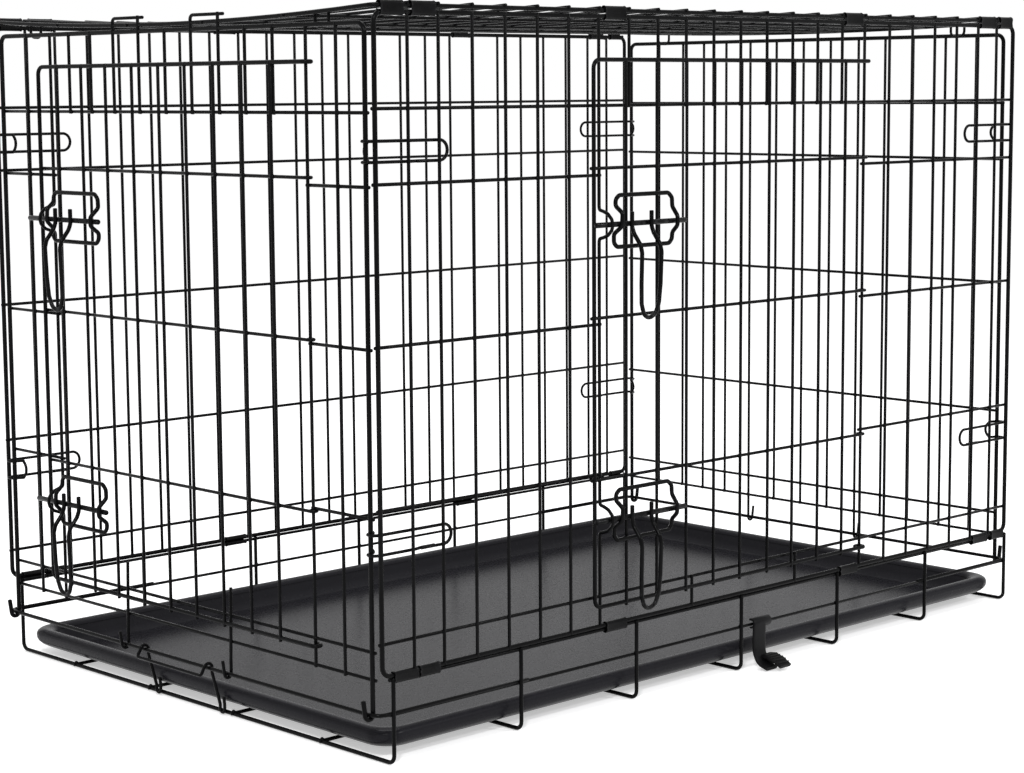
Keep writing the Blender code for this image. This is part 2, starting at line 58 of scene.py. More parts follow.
# Where the crate's planes and rails are.
X_END = 457.2
SIDE_Y = 291.5
POST_Y = 279.5
SIDE_TOP = 637.5
END_TOP = 628.5
TOP_Z = 644.0
BASE_RAIL_X = 462.5
BASE_RAIL_Z = 45.5
BASE_HINGE_Z = 75.0
TAB_Z = 641.0
KEEPER_X = -192.3
HINGE_X = 195.1
SIDE_GAPS = [35.5, 34.7] + [38.9] * 20 + [34.0, 32.2]
SIDE_X = [-X_END + sum(SIDE_GAPS[:i]) for i in range(len(SIDE_GAPS))] + [X_END]
KEEPER_I, HINGE_I = 7, 17
SIDE_X[KEEPER_I], SIDE_X[HINGE_I] = KEEPER_X, HINGE_X
SHORT_X = [-66.4, 88.9]
LOOP_Y, LOOP_Z, LOOP_HALF = 221.0, 630.2, 9.0
TOP_SAG, SAG_LOSS = 9.0, 3.0
SIDE_RAILS = [79.0, 107.0, 221.4, 359.7, 495.3, 558.0]
END_Y = [-POST_Y, -243.6, -202.4, -158.1, -118.9, -80.7, -39.8, 0.6, 41.9, 82.8, 121.1, 157.5,
         191.9, 232.0, POST_Y]
END_HINGE_I, END_KEEPER_I = 2, 12
EYE_I = [5, 9]
TAB_I = [(9, 8), (6, 5)]
END_RAILS = [74.4, 98.3, 213.4, 357.0, 493.0, 554.6]
SIDE_DOOR_X = [-203.5, -162.0, -120.5, -79.3, -39.9, -0.9, 40.5, 78.4, 118.8, 158.6]
SIDE_DOOR_RAILS = [98.5, 217.0, 366.0, 501.8, 599.0]
END_DOOR_Y = [207.0, 173.3, 132.0, 91.5, 48.3, 6.2, -34.6, -77.1, -118.1, -159.1]
END_DOOR_RAILS = [92.0, 211.0, 360.5, 499.5, 597.6]
FLOOR_X = [-446.0, -295.0, -144.0, 7.0, 158.0, 309.0, 457.0]
FLOOR_Y = [-195.0, -66.0, 66.0, 195.0]
TOP_LONG_Y = [-SIDE_Y, -175.0, -58.3, 58.3, 175.0, SIDE_Y]

# Where doors, bolts and latches are.
DOOR_OUT = 4.4
ROD_OUT = 11.6
UPPER_Z, SIDE_LOWER_Z, END_LOWER_Z = 451.0, 180.0, 172.0
SIDE_BOLT_X, END_BOLT_Y = -152.5, 153.5
CLIP_SPOTS = [(-439.2, 25.0), (-404.3, 27.0), (-172.4, 27.0), (175.3, 27.0), (408.0, 27.0),
              (441.0, 22.0)]
FIRST_FOOT_CLIPS = [(-432.0, 27.0), (-404.9, 23.0)]
HOOK_Z = {"upper": 522.5, "lower": 192.2}
CLIP_RADIUS = 2.7
THUMB_X = 35.5
TRAY_X, TRAY_HALF_X, TRAY_HALF_Y, TRAY_TOP = 4.5, 452.5, 281.2, 27.0
RIM_RUB = 3.0
LATCH_Y = (51.0, -50.5)

# Wires cross with their middles this far either side of a panel's plane, and reach past the
# last crossing by a stub. A weld bead's radius is a share of the wire's diameter.
CROSS = 0.95
STUB = 2.6
WELD = 0.72

# A cut wire's end draws in: how far out its two last rings lie and how wide they are, in radii.
LIP_OUT, LIP_WIDE = 0.2, 0.9
TIP_OUT, TIP_WIDE = 0.34, 0.62

# A bend takes up no more than this share of the runs beside it; edges sharper than this angle,
# in degrees, stay crisp.
BEND_SHARE = 0.49
CRISP_ANGLE = 52.0

# The camera, as it stood when the photograph was taken.
CAMERA_SPOT = (-1696.1, -1746.5, 573.3)
CAMERA_PITCH = 6.851
CAMERA_HEADING = 46.174
CAMERA_ROLL = -0.388
PHOTO_WIDTH = 1024.0
FOCAL_PIXELS = 2306.4
CENTRE_OFFSET = (2.7, -20.4)
SENSOR = 36.0
CAMERA_CLIP = (0.05, 400.0)


def gauge(name, description, default):
    """A wire's diameter, in metres, that the user can change."""
    return bpy.props.FloatProperty(name=name, description=description, default=default,
                                   min=0.001, max=0.01, unit="LENGTH", precision=4)


def shade(name, description, default):
    """A colour that the user can change."""
    return bpy.props.FloatVectorProperty(name=name, description=description, default=default,
                                         subtype="COLOR", size=3, min=0.0, max=1.0)


class CrateSizes(bpy.types.PropertyGroup):
    """Wire gauges, as diameters."""

    infill: gauge("Infill wire", "Diameter of uprights and rails", 0.0031)
    frame: gauge("Frame wire", "Diameter of the wire round each panel", 0.0044)
    door: gauge("Door frame wire", "Diameter of the wire round each door", 0.0040)
    base: gauge("Base wire", "Diameter of the floor wires and base rails", 0.0038)
    rod: gauge("Bolt rod", "Diameter of the sliding rods", 0.0050)
    latch: gauge("Latch wire", "Diameter of brackets and handles", 0.0041)
    hook: gauge("Hook wire", "Diameter of the corner hooks", 0.0029)
    sides: bpy.props.IntProperty(
        name="Wire sides", description="Flats round a wire", default=12, min=6, max=32)


class CrateFinish(bpy.types.PropertyGroup):
    """Colours and gloss."""

    coat: shade("Powder coat", "Colour of the coated wire", (0.0021, 0.0021, 0.0023))
    coat_gloss: bpy.props.FloatProperty(
        name="Coat roughness", description="Roughness of the coated wire", subtype="FACTOR",
        default=0.22, min=0.0, max=1.0)
    clip: shade("Clip enamel", "Colour of the hinge clips", (0.0026, 0.0026, 0.0028))
    tray: shade("Tray plastic", "Colour of the floor tray", (0.0108, 0.0105, 0.0128))
    thumb: shade("Thumb clip plastic", "Colour of the moulded clip", (0.0055, 0.0055, 0.006))
    floor: shade("Floor", "Colour of the studio floor", (0.86, 0.86, 0.865))


class Skin:
    """A surface: points, and faces as arrays of point numbers, one array for each face size."""

    def __init__(self, points, faces, worn=None):
        self.points = points
        self.faces = faces
        self.worn = np.zeros(len(points)) if worn is None else worn


def unit(vectors):
    """Each vector divided by its length."""
    return vectors / np.linalg.norm(vectors, axis=-1, keepdims=True)


def arc(cu, cv, radius, start, end, steps):
    """Points on a circle: its middle plus the radius times cosine and sine of even angles."""
    turn = np.radians(np.linspace(start, end, steps + 1))
    return np.stack([cu + radius * np.cos(turn), cv + radius * np.sin(turn)], 1)


def rounded(points, bend, steps=5, closed=False):
    """A path with each corner turned into an arc.

    The arc touches both runs. From where it starts, it is radius times the sine of the angle
    along the first run, plus radius times one less the cosine towards the inside.
    """
    points = np.asarray(points, float)
    if closed:
        here, back, ahead = points, np.roll(points, 1, 0), np.roll(points, -1, 0)
    else:
        here, back, ahead = points[1:-1], points[:-2], points[2:]
    run_in, run_out = unit(here - back), unit(ahead - here)
    turn = np.arccos(np.clip((run_in * run_out).sum(1), -1.0, 1.0))
    half = np.tan(np.maximum(turn, 1e-4) / 2)
    room = BEND_SHARE * np.minimum(np.linalg.norm(here - back, axis=1),
                                   np.linalg.norm(ahead - here, axis=1))
    reach = np.minimum(bend * half, room)
    radius = reach / half
    inward = run_out - np.cos(turn)[:, None] * run_in
    inward = inward / np.maximum(np.linalg.norm(inward, axis=1, keepdims=True), 1e-9)
    angle = turn[:, None] * np.linspace(0, 1, steps + 1)
    start = here - reach[:, None] * run_in
    found = (start[:, None] + radius[:, None, None] * np.sin(angle)[..., None] * run_in[:, None]
             + radius[:, None, None] * (1 - np.cos(angle))[..., None] * inward[:, None])
    found = found.reshape(-1, 3)
    if not closed:
        found = np.concatenate([points[:1], found, points[-1:]])
    gaps = np.linalg.norm(np.diff(found, axis=0), axis=1)
    return found[np.concatenate([[True], gaps > 1e-3])]


def carried(path, closed):
    """Direction of a path at each point and a normal carried along it without twist."""
    runs = unit(np.diff(path, axis=0, append=path[:1] if closed else path[-1:] * 2 - path[-2:-1]))
    before = np.roll(runs, 1, 0)
    if not closed:
        before[0] = runs[0]
    along = unit(before + runs)
    normal = np.zeros_like(along)
    spare = np.eye(3)[np.argmin(np.abs(along[0]))]
    normal[0] = unit(np.cross(along[0], spare))
    for i in range(1, len(path)):
        normal[i] = unit(normal[i - 1] - (normal[i - 1] @ along[i]) * along[i])
    if closed:
        last = unit(normal[-1] - (normal[-1] @ along[0]) * along[0])
        gap = math.atan2(np.cross(last, normal[0]) @ along[0], last @ normal[0])
        share = gap * np.arange(len(path))[:, None] / len(path)
        normal = normal * np.cos(share) + np.cross(along, normal) * np.sin(share)
    return along, normal


def stacked(rings, closed=False):
    """Faces round a stack of rings, counter-clockwise seen from ahead: quads between each ring
    and the next, and a flat face at each end unless the stack closes on itself."""
    count, sides = rings.shape[:2]
    index = np.arange(count * sides).reshape(count, sides)
    low = index if closed else index[:-1]
    high = np.roll(index, -1, 0) if closed else index[1:]
    quads = np.stack([low, np.roll(low, -1, 1), np.roll(high, -1, 1), high], -1).reshape(-1, 4)
    faces = [quads]
    if not closed:
        faces.append(np.stack([index[0][::-1], index[-1]]))
    return Skin(rings.reshape(-1, 3), faces)


def tube(path, diameter, closed=False, sides=None):
    """A round wire. Each ring is the path's point plus the radius times the cosine along one
    normal and the sine along the other; an open end draws in over two smaller rings."""
    path = np.asarray(path, float)
    along, normal = carried(path, closed)
    radius = np.full(len(path), diameter / 2)
    if not closed:
        back, ahead = -along[:1] * radius[0], along[-1:] * radius[0]
        path = np.concatenate([path[:1] + back * TIP_OUT, path[:1] + back * LIP_OUT, path,
                               path[-1:] + ahead * LIP_OUT, path[-1:] + ahead * TIP_OUT])
        along = along[[0, 0, *range(len(along)), -1, -1]]
        normal = normal[[0, 0, *range(len(normal)), -1, -1]]
        lip, tip = radius[:1] * LIP_WIDE, radius[:1] * TIP_WIDE
        radius = np.concatenate([tip, lip, radius, lip, tip])
    sides = sides or bpy.context.scene.crate_sizes.sides
    turn = np.linspace(0, 2 * np.pi, sides, endpoint=False)
    other = np.cross(along, normal)
    rings = (path[:, None] + radius[:, None, None]
             * (np.cos(turn)[None, :, None] * normal[:, None]
                + np.sin(turn)[None, :, None] * other[:, None]))
    return stacked(rings, closed)


def welds(centres, wire, share=WELD, sides=8, steps=4):
    """A ball at each point: the radius times the sines and cosines of two angles."""
    lean = np.linspace(0.12 * np.pi, 0.88 * np.pi, steps)[::-1]
    turn = np.linspace(0, 2 * np.pi, sides, endpoint=False)
    ball = np.stack([np.sin(lean)[:, None] * np.cos(turn), np.sin(lean)[:, None] * np.sin(turn),
                     np.repeat(np.cos(lean)[:, None], sides, 1)], -1)
    one = stacked(ball * (wire * share))
    centres = np.asarray(centres, float)
    points = (centres[:, None] + one.points).reshape(-1, 3)
    shift = np.arange(len(centres))[:, None, None] * len(one.points)
    return Skin(points, [(faces + shift).reshape(-1, faces.shape[1]) for faces in one.faces])


def flipped(skin):
    """The same surface seen from its other side."""
    return Skin(skin.points, [faces[:, ::-1] for faces in skin.faces], skin.worn)


def on_side(sign, u, out, z):
    """A point of a side panel: along it, out from its plane, and up."""
    return (u, sign * (SIDE_Y + out), z)


def on_end(sign, u, out, z):
    """A point of an end panel: across it, out from its plane, and up."""
    return (sign * (X_END + out), u, z)


def piece(name, skins, body, node, slot):
    """One object from several surfaces, moved to the crate's origin. It rides on a body, stands
    for a node and has its slot's finish."""
    points = np.concatenate([skin.points for skin in skins])
    points = (points - (ORIGIN_X, 0.0, 0.0)) * MM
    corners, sizes, start = [], [], 0
    for skin in skins:
        for faces in skin.faces:
            corners.append((faces + start).ravel())
            sizes.append(np.full(len(faces), faces.shape[1]))
        start += len(skin.points)
    corners, sizes = np.concatenate(corners), np.concatenate(sizes)
    mesh = bpy.data.meshes.new(name)
    mesh.vertices.add(len(points))
    mesh.vertices.foreach_set("co", points.astype(np.float32).ravel())
    mesh.loops.add(len(corners))
    mesh.loops.foreach_set("vertex_index", corners.astype(np.int32))
    mesh.polygons.add(len(sizes))
    starts = np.concatenate([[0], np.cumsum(sizes)[:-1]])
    mesh.polygons.foreach_set("loop_start", starts.astype(np.int32))
    mesh.update(calc_edges=True)
    worn = mesh.attributes.new("worn", "FLOAT", "POINT")
    worn.data.foreach_set("value", np.concatenate([s.worn for s in skins]).astype(np.float32))
    mesh.shade_smooth()
    mesh.set_sharp_from_angle(angle=math.radians(CRISP_ANGLE))
    mesh.materials.append(finishes()[slot])
    made = bpy.data.objects.new(name, mesh)
    bpy.context.scene.collection.objects.link(made)
    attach(made, body)
    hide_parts(node)


def gauges():
    """Wire diameters in millimetres, by name, from the crate's settings."""
    sizes = bpy.context.scene.crate_sizes
    names = ("infill", "frame", "door", "base", "rod", "latch", "hook")
    return {name: getattr(sizes, name) / MM for name in names}


# Materials.

class Graph:
    """The nodes of a material or a world, and the links between them."""

    def __init__(self, owner):
        owner.use_nodes = True
        self.nodes, self.links = owner.node_tree.nodes, owner.node_tree.links

    def feed(self, node, inputs):
        """Give inputs, by name or number, a number, a colour or another node's output."""
        for name, value in inputs.items():
            if isinstance(value, bpy.types.NodeSocket):
                self.links.new(value, node.inputs[name])
            else:
                node.inputs[name].default_value = value

    def add(self, kind, inputs=None, **settings):
        """A new node with its settings and inputs."""
        node = self.nodes.new("ShaderNode" + kind)
        for name, value in settings.items():
            setattr(node, name, value)
        self.feed(node, inputs or {})
        return node


def new_material(name):
    """An empty finish: the material, its graph and its main shader."""
    made = bpy.data.materials.new(name)
    graph = Graph(made)
    return made, graph, graph.nodes["Principled BSDF"]


def grain(graph, scale, detail, rough=0.5):
    """Noise on object coordinates; the scale counts patches to the metre."""
    spot = graph.add("TexCoord").outputs["Object"]
    return graph.add("TexNoise", {"Scale": scale, "Detail": detail, "Roughness": rough,
                                  "Vector": spot}).outputs["Fac"]


def remap(graph, value, low, high, to_low, to_high):
    """A value moved from one range into another, held at both ends."""
    return graph.add("MapRange", {"From Min": low, "From Max": high, "To Min": to_low,
                                  "To Max": to_high, "Value": value}).outputs["Result"]


def blend_colour(graph, share, first, second):
    """A colour between two, by share; each is a colour or another node's output."""
    ends = [end if isinstance(end, bpy.types.NodeSocket) else (*end, 1.0)
            for end in (first, second)]
    return graph.add("Mix", {"Factor": share, "A": ends[0], "B": ends[1]},
                     data_type="RGBA").outputs["Result"]


def bump(graph, height, distance, strength, under=None):
    """A normal tipped by a height, on top of another bump where one is given."""
    inputs = {"Strength": strength, "Distance": distance, "Height": height}
    if under is not None:
        inputs["Normal"] = under
    return graph.add("Bump", inputs).outputs["Normal"]


def times(graph, first, second, operation="MULTIPLY"):
    """Two values multiplied, or put through another operation."""
    return graph.add("Math", {0: first, 1: second}, operation=operation).outputs["Value"]


def worn_places(graph):
    """1 where the mesh is marked as worn."""
    return graph.add("Attribute", attribute_name="worn").outputs["Fac"]


def powder_coat(name, colour, roughness, rub=0.5):
    """Powder coat: orange peel, slow changes of gloss, small grey chips, and rubs where the mesh
    is marked as worn."""
    made, graph, shader = new_material(name)
    cloud = grain(graph, 14.0, 3.0)
    fleck = grain(graph, 420.0, 2.0)
    rubbed = times(graph, worn_places(graph),
                   remap(graph, grain(graph, 260.0, 3.0), 0.42, 0.7, 0.0, rub))
    chips = remap(graph, grain(graph, 95.0, 4.0, 0.7), 0.72, 0.78, 0.0, 0.35)
    light = tuple(1.8 * c + 0.001 for c in colour)
    worn = tuple(4.0 * c + 0.012 for c in colour)
    base = blend_colour(graph, remap(graph, cloud, 0.35, 0.7, 0.0, 1.0), colour, light)
    base = blend_colour(graph, times(graph, rubbed, chips, "MAXIMUM"), base, worn)
    gloss = remap(graph, fleck, 0.3, 0.7, roughness - 0.05, roughness + 0.07)
    gloss = times(graph, gloss, remap(graph, cloud, 0.3, 0.7, 0.92, 1.12))
    peel = bump(graph, grain(graph, 900.0, 2.0), 0.00012, 0.35)
    graph.feed(shader, {"Base Color": base, "Roughness": gloss, "Specular IOR Level": 0.05,
                        "Normal": bump(graph, fleck, 0.0002, 0.3, peel)})
    return made


# Steel where the clips' enamel is rubbed off.
BARE_STEEL = (0.03, 0.03, 0.032)


def clip_enamel(name, colour):
    """Sheet steel under thin enamel, rubbed bare in places along the lips."""
    made, graph, shader = new_material(name)
    cloud = grain(graph, 60.0, 4.0)
    bare = times(graph, worn_places(graph),
                 remap(graph, grain(graph, 380.0, 4.0, 0.6), 0.5, 0.62, 0.0, 0.8))
    base = blend_colour(graph, remap(graph, cloud, 0.35, 0.7, 0.0, 1.0), colour,
                        tuple(2.4 * c for c in colour))
    base = blend_colour(graph, bare, base, BARE_STEEL)
    gloss = remap(graph, grain(graph, 240.0, 3.0), 0.3, 0.7, 0.24, 0.36)
    drawn = bump(graph, grain(graph, 700.0, 2.0), 0.0002, 0.3)
    graph.feed(shader, {"Base Color": base, "Roughness": gloss, "Specular IOR Level": 0.06,
                        "Normal": drawn})
    return made


def moulded(name, colour, roughness, grain_scale, depth):
    """Moulded plastic: leather-fine grain, scuffs drawn out along X, paler rubbed edges."""
    made, graph, shader = new_material(name)
    cloud = grain(graph, 5.0, 3.0)
    spot = graph.add("TexCoord").outputs["Object"]
    turn = graph.add("Mapping", {"Scale": (9.0, 160.0, 160.0), "Vector": spot,
                                 "Rotation": (0.0, 0.0, math.radians(7))})
    drag = graph.add("TexNoise", {"Scale": 1.0, "Detail": 5.0, "Vector": turn.outputs["Vector"]})
    scuff = remap(graph, drag.outputs["Fac"], 0.68, 0.8, 0.0, 0.3)
    edge = times(graph, worn_places(graph),
                 remap(graph, grain(graph, 120.0, 4.0), 0.4, 0.75, 0.0, 0.6))
    base = blend_colour(graph, remap(graph, cloud, 0.35, 0.68, 0.0, 1.0), colour,
                        tuple(1.25 * c for c in colour))
    base = blend_colour(graph, times(graph, scuff, edge, "MAXIMUM"), base,
                        tuple(2.1 * c for c in colour))
    gloss = remap(graph, grain(graph, 150.0, 4.0), 0.3, 0.7, roughness - 0.004,
                  roughness + 0.006)
    cells = graph.add("TexVoronoi", {"Scale": grain_scale, "Vector": spot})
    fine = bump(graph, cells.outputs["Distance"], depth, 0.22)
    graph.feed(shader, {"Base Color": base, "Roughness": gloss, "Specular IOR Level": 0.065,
                        "Normal": bump(graph, grain(graph, 7.0, 1.0), 0.001, 0.06, fine)})
    return made


FINISHES = {}


def finishes():
    """The crate's materials by slot, made once."""
    if not FINISHES:
        finish = bpy.context.scene.crate_finish
        coat, gloss = tuple(finish.coat), finish.coat_gloss
        FINISHES.update({
            "crate_wire": powder_coat("wire_powder_coat", coat, gloss),
            "latch_wire": powder_coat("latch_powder_coat", coat, gloss - 0.06, 0.9),
            "hinge_clip": clip_enamel("clip_enamel", tuple(finish.clip)),
            "tray_plastic": moulded("tray_moulding", tuple(finish.tray), 0.27, 900.0, 0.00004),
            "clip_plastic": moulded("clip_moulding", tuple(finish.thumb), 0.42, 1300.0, 0.00008),
        })
    return FINISHES


# Panels.

def upright(place, sign, u, foot, head, out=CROSS):
    """A straight infill wire up a panel, from one height to another."""
    return tube([place(sign, u, out, foot), place(sign, u, out, head)], gauges()["infill"])


def rail_wires(place, sign, heights, edge, doorway):
    """Straight infill wires along a panel, inside its plane. A doorway's two sides, where they
    are given, split all but the top rail of the highest four."""
    wires = []
    for z in heights:
        runs = [(-edge, edge)]
        if doorway and z in heights[-4:-1]:
            runs = [(-edge, doorway[0] + STUB), (doorway[1] - STUB, edge)]
        for run in runs:
            wires.append(tube([place(sign, u, -CROSS, z) for u in run], gauges()["infill"]))
    return wires


def crossings(place, sign, uprights, rails):
    """Welds between uprights outside and rails inside a panel's plane."""
    spots = [place(sign, u, 0.0, z) for u in uprights for z in rails]
    return welds(spots, gauges()["infill"])


def side_panel(sign, name):
    """A frame wire round an upright grid; the near one leaves its doorway open."""
    near = sign < 0
    corners = [(-X_END, SIDE_RAILS[0]), (X_END, SIDE_RAILS[0]), (X_END, SIDE_TOP),
               (-X_END, SIDE_TOP)]
    loop = [on_side(sign, u, 0.0, z) for u, z in corners]
    skins = [tube(rounded(loop, 9.0, 6, True), gauges()["frame"], True)]
    cut = range(KEEPER_I, HINGE_I + 1) if near else range(0)
    foot, low, head = SIDE_RAILS[0] - 1.0, SIDE_RAILS[1] + 1.4, SIDE_RAILS[5]
    for i in range(1, len(SIDE_X) - 1):
        whole = i not in cut or i == HINGE_I
        out = 0.0 if near and i in (KEEPER_I, HINGE_I) else CROSS
        start = foot if whole else head - 1.4
        skins.append(upright(on_side, sign, SIDE_X[i], start, SIDE_TOP + 1.2, out))
        if near and i == KEEPER_I:
            skins.append(upright(on_side, sign, SIDE_X[i], foot, low, out))
    if near:
        skins += [upright(on_side, sign, x, foot, low) for x in SHORT_X]
    doorway = (KEEPER_X, HINGE_X) if near else None
    skins += rail_wires(on_side, sign, SIDE_RAILS[1:], X_END + STUB, doorway)
    outer = [x for i, x in enumerate(SIDE_X) if i not in cut or i in (KEEPER_I, HINGE_I)]
    skins.append(crossings(on_side, sign, SIDE_X, [head]))
    skins.append(crossings(on_side, sign, outer, SIDE_RAILS[1:5]))
    piece(name + "_wires", skins, "frame", name, "crate_wire")


def hooked_end(sign, u, wire):
    """A wire's lower end: leaning out, then round under the base rail and up on its outer side,
    a little further from the rail's middle than the two wires' radii."""
    out = BASE_RAIL_X - X_END
    radius = (wire + gauges()["base"]) / 2 + 0.3
    turn = arc(out, BASE_RAIL_Z, radius, 180, 350, 10)
    path = [(0.0, END_RAILS[1] + 26.0), (out - radius, BASE_RAIL_Z + 12.0), *turn,
            (out + radius + 1.8, BASE_RAIL_Z + 12.5)]
    return [on_end(sign, u, w, z) for w, z in path]


def end_panel(sign, name, body):
    """A frame wire whose ends hook the base rail, and an upright grid; the front one leaves its
    doorway open. Two uprights go on above the top rail and turn over as tabs."""
    g = gauges()
    front = sign < 0
    foot, low, head = END_RAILS[0] - 1.6, END_RAILS[1] + 1.4, END_RAILS[5]
    left, right = (hooked_end(sign, y, g["frame"]) for y in (-POST_Y, POST_Y))
    loop = left[:0:-1] + [on_end(sign, -POST_Y, 0.0, END_TOP), on_end(sign, POST_Y, 0.0, END_TOP)]
    skins = [tube(rounded(loop + right[1:], 8.0), g["frame"])]
    cut = range(END_HINGE_I + 1, END_KEEPER_I + 1) if front else range(0)
    tabs = dict(TAB_I) if front else {}
    for i in range(1, len(END_Y) - 1):
        y = END_Y[i]
        out = 0.0 if front and i in (END_HINGE_I, END_KEEPER_I) else CROSS
        start = head - 1.4 if i in cut else foot
        top = [(y, END_TOP + 1.4)]
        if i in tabs:
            top = [(y, TAB_Z), (END_Y[tabs[i]] - 8.0, TAB_Z)]
        elif i in tabs.values():
            top = [(y, TAB_Z + 1.4)]
        path = [on_end(sign, y, out, start)] + [on_end(sign, u, out, z) for u, z in top]
        if i not in cut and i in EYE_I:
            path = hooked_end(sign, y, g["infill"])[:0:-1] + path[1:]
        skins.append(tube(rounded(path, 4.0), g["infill"]))
        if i in cut and i in EYE_I:
            skins.append(tube(rounded(hooked_end(sign, y, g["infill"]), 3.0), g["infill"]))
        if front and i == END_KEEPER_I:
            skins.append(upright(on_end, sign, y, foot, low, out))
    doorway = (END_Y[END_HINGE_I], END_Y[END_KEEPER_I]) if front else None
    skins += rail_wires(on_end, sign, END_RAILS, POST_Y + STUB, doorway)
    outer = [y for i, y in enumerate(END_Y) if i not in cut or i == END_KEEPER_I]
    skins.append(crossings(on_end, sign, END_Y, [head]))
    skins.append(crossings(on_end, sign, outer, END_RAILS[:5]))
    piece(name + "_wires", skins, body, name, "crate_wire")


def sagged(points):
    """Points of the top, lowered: the sag times one less the square of y over the half width,
    with a little less sag towards the end without a door."""
    points = np.array(points, float)
    depth = TOP_SAG - SAG_LOSS * ((points[:, 0] + X_END) / (2 * X_END)) ** 2
    points[:, 2] -= depth * (1 - np.minimum((points[:, 1] / SIDE_Y) ** 2, 1.0))
    return points


def spread(start, end, steps=14):
    """Even steps along a straight wire."""
    return np.linspace(start, end, steps + 1)


def top_panel():
    """Cross wires lie on the edge wire and on the wires along; four loops hang at the ends."""
    g = gauges()
    edge_z, cross_z = TOP_Z - 1.0, TOP_Z + 1.1
    loop = rounded([(-X_END, -SIDE_Y, edge_z), (X_END, -SIDE_Y, edge_z), (X_END, SIDE_Y, edge_z),
                    (-X_END, SIDE_Y, edge_z)], 7.0, 6, True)
    start = loop.reshape(4, -1, 3)
    runs = [[start[i], spread(start[i][-1], start[(i + 1) % 4][0])[1:-1]] for i in range(4)]
    loop = np.concatenate([part for run in runs for part in run])
    skins = [tube(sagged(loop), g["frame"] - 0.5, True)]
    side, end = SIDE_Y + 2.2, X_END + STUB
    wires = [((x, -side, cross_z), (x, side, cross_z)) for x in SIDE_X[1:-1]]
    wires += [((-end, y, cross_z - 2.0), (end, y, cross_z - 2.0)) for y in TOP_LONG_Y[1:-1]]
    skins += [tube(sagged(spread(*ends)), g["infill"]) for ends in wires]
    for x in (3.3 - X_END, X_END - 3.3):
        for y in (-LOOP_Y, LOOP_Y):
            low, high = y - LOOP_HALF, y + LOOP_HALF
            hang = [(x, low, edge_z), (x, low, LOOP_Z), (x, high, LOOP_Z), (x, high, edge_z)]
            skins.append(tube(sagged(rounded(hang, 8.6, 10)), g["infill"] - 0.2))
    spots = sagged([(x, y, cross_z - 1.0) for x in SIDE_X[1:-1] for y in TOP_LONG_Y])
    skins.append(welds(spots, g["infill"]))
    piece("top_panel_wires", skins, "frame", "top_panel", "crate_wire")


# Doors.

def door(place, lines, rails, hinge, name):
    """A door's wires: the outer one ends in curls round the hinge wire, and so does each rail."""
    g = gauges()
    step = 1.0 if hinge > lines[0] else -1.0
    free = lines[0]

    def curl(radius, z, last):
        ring = arc(0.0, 0.0, radius, -90, last, 12)
        return [place(-1, hinge + step * a, -b, z) for a, b in ring]

    high, low = rails[-1], rails[0]
    loop = curl(DOOR_OUT, high, 150)[::-1]
    loop += [place(-1, free, DOOR_OUT, high), place(-1, free, DOOR_OUT, low)]
    loop += curl(DOOR_OUT, low, 150)
    skins = [tube(rounded(loop, 7.5), g["door"])]
    rail_out, upright_out = DOOR_OUT - 1.3, DOOR_OUT + 0.6
    for z in rails[1:-1]:
        path = [place(-1, free - step * STUB, rail_out, z)] + curl(rail_out, z, 200)
        skins.append(tube(rounded(path, 3.0), g["infill"]))
    skins += [upright(place, -1, u, low - 3.0, high + 0.8, upright_out) for u in lines[1:]]
    spots = [place(-1, u, (rail_out + upright_out) / 2, z) for u in lines[1:] for z in rails]
    skins.append(welds(spots, g["infill"]))
    piece(name + "_wires", skins, name, name, "crate_wire")


def bulged(middle, half=14.0, rise=17.2):
    """A keeper wire's outward bend round a bolt, as (out, up)."""
    shape = [(0, -half - 2), (0.6, -half + 1), (5, -half + 2), (11, -half + 4.2), (rise - 1.3, -5),
             (rise, 0), (rise - 1.3, 5), (11, half - 4.2), (5, half - 2), (0.6, half - 1),
             (0, half + 2)]
    return [(out, middle + dz) for out, dz in shape]


def keeper(place, u, rails, lower_z, name, body):
    """A doorway's free upright, from its lower rail to its upper one, bent out round each bolt."""
    path = [(0.0, rails[1] - 1.0), *bulged(lower_z), *bulged(UPPER_Z), (0.0, rails[5] + 1.0)]
    wire = rounded([place(-1, u, out, z) for out, z in path], 5.0)
    piece(name + "_wire", [tube(wire, gauges()["infill"] + 0.2)], body, name, "crate_wire")


# Slide bolts.

def bolt_frames():
    """Each bolt's tag, panel, place along it, direction towards the hinge, and height."""
    return [("side_upper", on_side, SIDE_BOLT_X, 1.0, UPPER_Z),
            ("side_lower", on_side, SIDE_BOLT_X, 1.0, SIDE_LOWER_Z),
            ("end_upper", on_end, END_BOLT_Y, -1.0, UPPER_Z),
            ("end_lower", on_end, END_BOLT_Y, -1.0, END_LOWER_Z)]


# Along, up and out from the middle of a bolt, with along growing towards the hinge: a rod's two
# ends; a bracket's bends, -1 on the door's wires and 1 over the rod; half a handle's bends, and
# how far under the rod the finger's rub starts and how fast it grows.
ROD_REACH = {"side": (-55.5, 63.5), "end": (-64.5, 54.0)}
BRACKET = [(-22, -1, 26), (44, -1, 26), (49, -1, 21.5), (49.5, -1, 13), (48, 1, 4.5), (48, 1, -4),
           (49.5, -1, -11), (49, -1, -17), (45, -1, -21), (-25, -1, -21), (-29, -1, -17),
           (-29, -1, -9), (-27, 1, -2), (-26, 1, 10), (-27, -1, 16.5), (-26.5, -1, 22.5)]
GRIP_DROP, GRIP_FADE = 60.0, 20.0
HANDLE_LEG = [(13, 0, 10.5), (13, 0, -3), (13, 2.5, -9), (13, 10.5, -19), (13, 12.5, -26),
              (12.8, 11.5, -55), (11.6, 10.5, -73), (7.6, 9.8, -83)]


